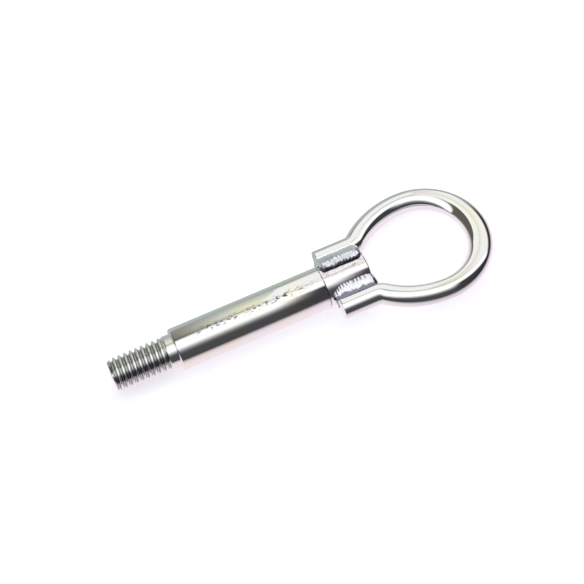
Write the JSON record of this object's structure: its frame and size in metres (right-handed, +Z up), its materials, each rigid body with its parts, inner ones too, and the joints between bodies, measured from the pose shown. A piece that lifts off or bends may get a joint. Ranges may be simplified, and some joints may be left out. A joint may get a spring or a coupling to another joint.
{
  "type": "screw-in towing eye",
  "caption": "Screw-in towing eye: a plated steel shank with a coarse thread at one end, and a round rod bent into an eye and welded along the other end.",
  "frame": {"origin": "on the screw axis, in the plane of the shoulder where the threaded end meets the shank", "axes": "+X along the shank from the thread to the eye, +Z up; the eye lies as on a table, on the shank and on the +Y side of its loop, so the loop leans about 11 degrees about X"},
  "size_m": [0.1863, 0.0626, 0.0205],
  "materials": {
    "plated_bar": "bright zinc plate with a pale iridescent passivate on turned bar",
    "plated_rod": "bright zinc plate with a pale iridescent passivate on drawn rod",
    "plated_weld": "zinc plate over rippled weld metal"
  },
  "bodies": {
    "root": {"shank": "plated_bar", "ring": "plated_rod", "weld_broad_top": "plated_weld", "weld_broad_bottom": "plated_weld", "weld_narrow_top": "plated_weld", "weld_narrow_bottom": "plated_weld"}
  },
  "joints": []
}
